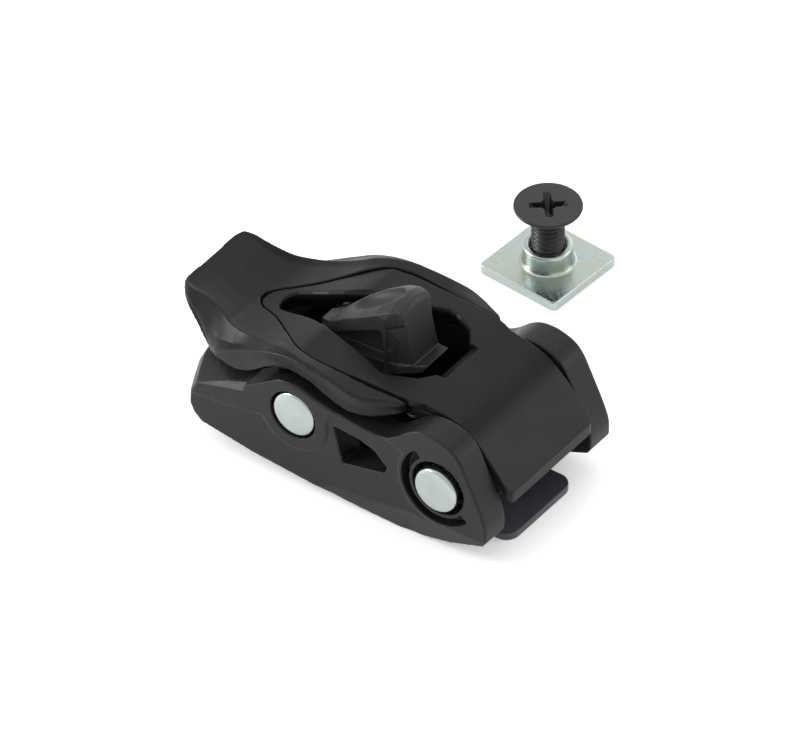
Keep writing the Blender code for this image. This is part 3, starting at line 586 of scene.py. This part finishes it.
def make_lever():
    """Lever shell with pocket, opening, barrel and slots."""
    count = (len(LEVER) - 1) * 4
    shell = skin("lever_shell_fine", [lever_section(i / 4) for i in range(count + 1)])
    cut(shell, prism("block", lift(BLOCK), -9.9, 9.9), "UNION")
    cut(shell, rod(FRONT, 5.6, -9.88, 9.88, steps=72), "UNION")
    half = smooth_line(COVER_HALF[1:-1], 3)
    half = [(-16.05, 0.2), (-15.95, 0.5)] + half + [(34.9, 9.9)]
    outline = [(x, -h - 0.3) for x, h in half] + [(x, h + 0.3) for x, h in reversed(half)]
    pocket = prism("pocket", outline, 0.0, SKY, "Z")
    under = below(smooth_line(ROOF, 3), 1.5)
    lead = [(-20.0, under[0][1] - 1.3)] + under + [(40.0, -8.0), (40.0, 30.0), (-20.0, 30.0)]
    cut(pocket, prism("above", lift(lead), -20.0, 20.0), "INTERSECT")
    cut(shell, pocket)
    cut(shell, prism("well", inset(OPENING, -1.1), 5.0, SKY, "Z"))
    cut(shell, rod(FRONT, 2.9, -12.0, 12.0))
    foot = FRONT[1] - 9.0
    slot = [(FRONT[0] + 5.3, foot)] + arc(FRONT, 5.3, 0, 180, 24) + [(FRONT[0] - 5.3, foot)]
    cut(shell, prism("cam_slot", slot, -3.3, 3.3))
    cut(shell, prism("spring_slot", slot, 4.6, 8.3))
    for x, y, low in ((-6.0, 6.2, 17.0), (16.8, 8.3, 18.1)):
        stepped = [(0, low - 3), (1.9, low - 3), (1.9, low - 0.3), (1.0, low - 0.3), (1.0, low + 4), (0, low + 4)]
        for side in (-1, 1):
            cut(shell, turned("rivet_hole", stepped, (x, side * y), "Z", 24))
    mould(shell, 0.14, 3, 0.35)
    return place(shell, LEVER_MAT, "lever", "lever_black", "lever_shell")


def make_cover():
    """Cover plate: crowned at its rear half, chamfered round the pawl opening."""
    top = smooth_line(ROOF, 4)
    bottom = below(top, 1.2)
    rings = []
    for (x, z), (xb, zb) in zip(top, bottom):
        fall = 0.18 * max(0.0, min(1.0, (13.0 - x) / 12.0))
        ring = []
        for k in range(13):
            y = -12.0 + 2.0 * k
            w = max(0.0, abs(y) - 3.0) / 9.0
            ring.append((x, y, z + UP - fall * w ** 1.4))
        ring.append((xb, 12.0, zb + UP))
        ring.append((xb, -12.0, zb + UP))
        rings.append(ring)
    cover = skin("cover_plate_fine", rings)
    half = smooth_line(COVER_HALF[1:-1], 3)
    half = [(-15.75, 0.2), (-15.65, 0.7)] + half + arc((33.2, 9.1), 0.9, 90, 0, 8)[1:] + [(34.1, 0.5)]
    outline = [(x, -h) for x, h in half] + [(x, h) for x, h in reversed(half)]
    cut(cover, prism("outline", outline, 0.0, SKY, "Z"), "INTERSECT")
    cut(cover, prism("opening", OPENING, 0.0, SKY, "Z"))
    ramp = [(15.5, 7.4), (16.9, 7.4), (18.7, 8.6), (20.8, 10.0), (15.5, 10.6)]
    cut(cover, prism("opening_ramp", lift(ramp), -4.1, 4.1))
    rings = []
    for grow, up in ((0.05, -8.0), (0.05, -0.45), (-0.38, 0.03), (-0.9, 8.0)):
        rings.append([(x, y, along(ROOF, x) + UP + up) for x, y in inset(OPENING, grow)])
    cut(cover, skin("opening_edge", rings))
    mould(cover, 0.11, 2, 0.35)
    return place(cover, COVER_MAT, "lever", "cover_black", "cover_plate")


def make_cam():
    """Toothed steel cam in the barrel."""
    outline = []
    for i in range(96):
        a = 3.75 * i
        r = 5.0
        if 228 <= a <= 312:
            r = 5.25 + 0.95 * (0.5 + 0.5 * math.cos(math.radians((a - 225.0) * 24.0)))
        outline.append((FRONT[0] + r * math.cos(math.radians(a)), FRONT[1] + r * math.sin(math.radians(a))))
    cam = prism("drive_cam_fine", outline, -3.0, 3.0)
    cut(cam, rod(FRONT, 2.1, -5.0, 5.0))
    cut(cam, rod((FRONT[0] - 3.6, FRONT[1] + 1.6), 0.95, -5.0, 5.0, steps=24))
    crisp(cam, 0.12, 2, 40.0)
    return place(cam, STEEL, "lever", "insert_steel", "drive_cam")


def make_coil(name, at, r, wire, low, high, turns, body, node):
    """Round wire wound evenly, each end cut square across the wire."""
    bm = bmesh.new()
    rows = []
    count = int(turns * 40)
    for i in range(count + 1):
        a = 2 * math.pi * i / 40
        y = low + wire + (high - low - 2 * wire) * i / count
        out = Vector((math.cos(a), 0.0, math.sin(a)))
        row = []
        for k in range(12):
            b = 2 * math.pi * k / 12
            along_y = Vector((0, wire * math.sin(b), 0))
            row.append(bm.verts.new(Vector((at[0], y, at[1])) + out * (r + wire * math.cos(b)) + along_y))
        rows.append(row)
    for a, b in zip(rows, rows[1:]):
        for k in range(12):
            bm.faces.new((a[k], a[(k + 1) % 12], b[(k + 1) % 12], b[k]))
    bm.faces.new(rows[0])
    bm.faces.new(rows[-1])
    ob = to_object(name, bm)
    ob.data.shade_smooth()
    ob.data.set_sharp_from_angle(angle=math.radians(50.0))
    return place(ob, STEEL, body, "insert_steel", node)


# Pawl


def ball(name, place_at, across, down):
    """A sphere mesh put through a matrix, used to scoop."""
    bm = bmesh.new()
    bmesh.ops.create_uvsphere(bm, u_segments=across, v_segments=down, radius=1.0)
    bmesh.ops.transform(bm, matrix=place_at, verts=bm.verts)
    return to_object(name, bm)


def make_pawl():
    """Pawl with its hub, arm and drafted thumb piece."""
    pawl = prism("release_pawl_fine", lift(HUB_ARM), -4.2, 4.2)
    plan = [(-12, -4.3), (4, -4.3), (10, -3.8), (15, -2.4), (15, 2.4), (10, 3.8), (4, 4.3), (-12, 4.3)]
    cut(pawl, prism("plan", plan, 0.0, 30.0, "Z"), "INTERSECT")
    cut(pawl, rod(REAR, 4.9, -4.18, 4.18, steps=72), "UNION")
    thumb = prism("thumb", lift(THUMB), -5.0, 5.0)
    cut(thumb, prism("plan", THUMB_PLAN, 0.0, SKY, "Z"), "INTERSECT")
    cut(thumb, prism("draft", lift(THUMB_DRAFT), -10.0, 20.0, "X"), "INTERSECT")
    crown = []
    for k in range(19):
        y = -4.5 + 0.5 * k
        fall = 0.062 * y * y
        ring = [(x, y, z + UP - fall) for x, z in THUMB[2:9]]
        crown.append(ring + [(16.0, y, 0.0), (-6.0, y, 0.0), (-6.0, y, 18.4 - fall)])
    cut(thumb, skin("crown", crown), "INTERSECT")
    for side in (-1, 1):
        low, high = sorted((side * 2.3, side * 6.0))
        cut(thumb, prism("waist", lift(WAIST), low, high))
    cut(pawl, thumb, "UNION")
    tilt = Matrix.Rotation(math.radians(-33.0), 4, "Y")
    spot = Matrix.Translation((4.0, 0.0, UP + 13.7))
    cut(pawl, ball("dish", spot @ tilt @ Matrix.Diagonal((5.3, 2.75, 1.9, 1.0)), 48, 24))
    panel = [(8.5, 8.6), (12.6, 8.6), (10.7, 13.4), (8.3, 12.3)]
    for side in (-1, 1):
        rings = []
        for grow, out in ((0.0, -0.22), (-0.3, 0.15), (-0.6, 1.6)):
            rings.append([
                (x, side * (4.1 - 0.385 * max(0.0, min(2.6, x - 8.0)) + out), z + UP)
                for x, z in inset(panel, grow)
            ])
        cut(pawl, skin("panel", rings))
    cut(pawl, rod(REAR, 2.9, -8.0, 8.0))
    cut(pawl, prism("tooth_slot", lift(inset(TOOTH, -0.3)), -3.3, 3.3))
    cut(pawl, rod((-6.8, UP - 4.9), 0.95, -8.0, 8.0, steps=24))
    spot = Matrix.Translation((12.75, 0.2, UP + 11.4))
    cut(pawl, ball("mould_dot", spot @ Matrix.Scale(0.42, 4), 16, 10))
    mould(pawl, 0.09, 9, 0.35)
    return place(pawl, PAWL_MAT, "pawl", "pawl_grey", "release_pawl")


# Screw and nut


def stand(ob, turn):
    """Turns a piece about Z and sets it at the nut's place."""
    spot = Matrix.Translation((NUT_AT[0] * MM, NUT_AT[1] * MM, 0.0))
    ob.data.transform(spot @ Matrix.Rotation(turn, 4, "Z"))


def make_nut():
    """Square flange with rolled edges, filleted boss and a plain bore widened at its top."""
    outline = []
    for k in range(4):
        a0 = 90.0 * k
        c = Matrix.Rotation(math.radians(a0), 2) @ Vector((6.2, 6.2))
        outline += arc((c.x, c.y), 0.8, a0, a0 + 90.0, 6)
    nut = prism("square_nut_fine", outline, 0.0, 1.5, "Z")
    crisp(nut, 0.16, 2, 60.0)
    boss = [
        (0, 0.4), (4.15, 0.4), (4.15, 1.5), (3.95, 1.56), (3.78, 1.72), (3.68, 2.0), (3.65, 2.4),
        (3.65, 4.3), (3.58, 4.52), (3.42, 4.66), (3.2, 4.7), (0, 4.7),
    ]
    cut(nut, turned("boss", boss, (0, 0), "Z", 96), "UNION")
    bore = [(0, -1.0), (2.65, -1.0), (2.65, 4.45), (2.95, 4.75), (2.95, 6.0), (0, 6.0)]
    cut(nut, turned("bore", bore, (0, 0), "Z", 72))
    mould(nut, 0.07, 2, 0.3)
    stand(nut, math.radians(-4.0))
    return place(nut, ZINC, "nut", "nut_zinc", "square_nut")


def make_screw():
    """Countersunk head with a cross recess, and a rolled M5 thread below it."""
    top = 11.8
    profile = [
        (0, 8.3), (2.3, 8.3), (2.4, 8.8), (2.5, 8.95), (4.85, 11.25), (4.97, 11.36), (5.0, 11.5),
        (4.98, 11.68), (4.9, 11.78), (4.8, top), (0, top),
    ]
    head = turned("screw_head_fine", profile, (0, 0), "Z", 96)
    recess = ((-2.2, 0.9, 0.34), (-1.0, 1.9, 0.46), (0.02, 2.75, 0.58), (1.0, 3.4, 0.68))
    for k in range(2):
        rings = []
        for rise, reach, wide in recess:
            end = [(reach, -wide), (reach + 0.12, 0.0), (reach, wide)]
            outline = [(-reach, -wide)] + end + [(-reach, wide), (-reach - 0.12, 0.0)]
            rings.append([(x, y, top + rise) for x, y in outline])
        blade = skin("blade", rings)
        blade.data.transform(Matrix.Rotation(math.pi / 2 * k + 0.01, 4, "Z"))
        cut(head, blade)
    core = [(0, top - 2.4), (0.55, top - 2.2), (1.2, top + 0.05), (1.5, top + 1.0), (0, top + 1.0)]
    cut(head, turned("core", core, (0, 0), "Z", 24))
    mould(head, 0.075, 2, 0.4)
    stand(head, math.radians(40.0))
    place(head, OXIDE, "screw", "screw_oxide", "fixing_screw")
    rings = []
    pitch = 0.8
    low, high = 1.8, 8.75
    around = 60
    count = int((high - low) / pitch * 12)
    for i in range(count + 1):
        z = low + (high - low) * i / count
        ring = []
        for k in range(around):
            a = 2 * math.pi * k / around
            phase = (z / pitch - k / around) % 1.0
            ridge = min(1.0, 2.4 * min(phase, 1.0 - phase))
            r = 2.02 + 0.42 * (1.0 - ridge)
            r = min(r, 1.75 + 0.9 * (z - low) + 0.02)
            ring.append((r * math.cos(a), r * math.sin(a), z))
        rings.append(ring)
    thread = skin("screw_thread_fine", rings)
    thread.data.shade_smooth()
    thread.data.set_sharp_from_angle(angle=math.radians(60.0))
    stand(thread, 0.0)
    place(thread, OXIDE, "screw", "screw_oxide")


make_base()
make_plate()
make_pins()
make_lever()
make_cover()
make_cam()
make_coil("lever_spring_fine", FRONT, 4.3, 0.4, 4.8, 8.1, 3.0, "lever", "lever_spring")
make_pawl()
make_coil("pawl_spring_fine", REAR, 4.1, 0.4, 4.8, 9.6, 4.0, "pawl", "pawl_spring")
make_nut()
make_screw()

KEPT = {
    STEEL: (
        "pawl_spacer_near", "pawl_spacer_far", "floor_screw_cup", "cover_rivet_1", "cover_rivet_2",
        "cover_rivet_3", "cover_rivet_4", "drive_cam_dowel", "pawl_tooth", "pawl_tooth_rivet",
    ),
    BRONZE: ("lever_bush_near", "lever_bush_far", "pawl_bush"),
}
for mat, names in KEPT.items():
    for name in names:
        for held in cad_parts[name].material_slots:
            held.material = mat


# Floor, light and camera


def make_stage():
    """A wide pale sheet under the part."""
    bm = bmesh.new()
    bmesh.ops.create_grid(bm, x_segments=8, y_segments=8, size=1500.0)
    floor = to_object("floor_sheet", bm)
    m = Mat("floor_pale")
    m.link(m.ramp(m.noise(30.0, 3.0), [(0.3, grey(0.90)), (0.7, grey(0.93))]), m.shader.inputs["Base Color"])
    m.shader.inputs["Roughness"].default_value = 0.6
    m.shader.inputs["Emission Color"].default_value = (1.0, 1.0, 1.0, 1.0)
    m.shader.inputs["Emission Strength"].default_value = 0.28
    m.bump((m.noise(900.0, 2.0), 0.02, 0.0001))
    floor.data.materials.append(m.mat)
    floor.location.z = -0.00005


def area(name, at, aim, size, power):
    """A soft square lamp aimed at a point, in millimetres."""
    lamp = bpy.data.lights.new(name, "AREA")
    lamp.shape = "RECTANGLE"
    lamp.size, lamp.size_y = size[0] * MM, size[1] * MM
    lamp.energy = power
    ob = bpy.data.objects.new(name, lamp)
    bpy.context.scene.collection.objects.link(ob)
    ob.location = Vector(at) * MM
    ob.rotation_euler = (Vector(at) - Vector(aim)).to_track_quat("Z", "Y").to_euler()


def make_light():
    """Even white surroundings with an overhead box, a bright left box and two behind."""
    world = bpy.data.worlds.new("white_room")
    world.use_nodes = True
    back = world.node_tree.nodes["Background"]
    back.inputs["Color"].default_value = (1.0, 1.0, 1.0, 1.0)
    back.inputs["Strength"].default_value = 1.0
    bpy.context.scene.world = world
    area("overhead", (-60.0, 120.0, 520.0), (5.0, 5.0, 5.0), (420.0, 420.0), 0.35)
    area("side_left", (-522.0, -296.0, 277.0), (0.0, 0.0, 10.0), (210.0, 210.0), 2.6)
    area("rear", (-120.0, 520.0, 260.0), (5.0, 5.0, 5.0), (420.0, 160.0), 0.3)
    area("right_rear", (380.0, 340.0, 200.0), (15.0, 5.0, 10.0), (220.0, 220.0), 0.35)


def make_camera():
    """Long lens from the near front corner, looking down forty degrees."""
    azimuth, elevation, lens = math.radians(36.0), math.radians(40.0), 1000.0
    level = math.cos(elevation)
    back = Vector((math.sin(azimuth) * level, -math.cos(azimuth) * level, math.sin(elevation)))
    right = Vector((math.cos(azimuth), math.sin(azimuth), 0.0))
    up = back.cross(right)
    aim = Vector((9.534, -2.434, 17.93)) * MM
    width = 0.1124
    data = bpy.data.cameras.new("long_lens")
    data.lens = lens
    data.sensor_width = SENSOR
    data.sensor_fit = "HORIZONTAL"
    data.clip_start, data.clip_end = 0.01, 20.0
    cam = bpy.data.objects.new("long_lens", data)
    bpy.context.scene.collection.objects.link(cam)
    turn = Matrix((right, up, back)).transposed().to_4x4()
    cam.matrix_world = Matrix.Translation(aim + back * (lens * width / SENSOR)) @ turn
    bpy.context.scene.camera = cam


make_stage()
make_light()
make_camera()
bpy.context.scene.view_settings.view_transform = "Standard"
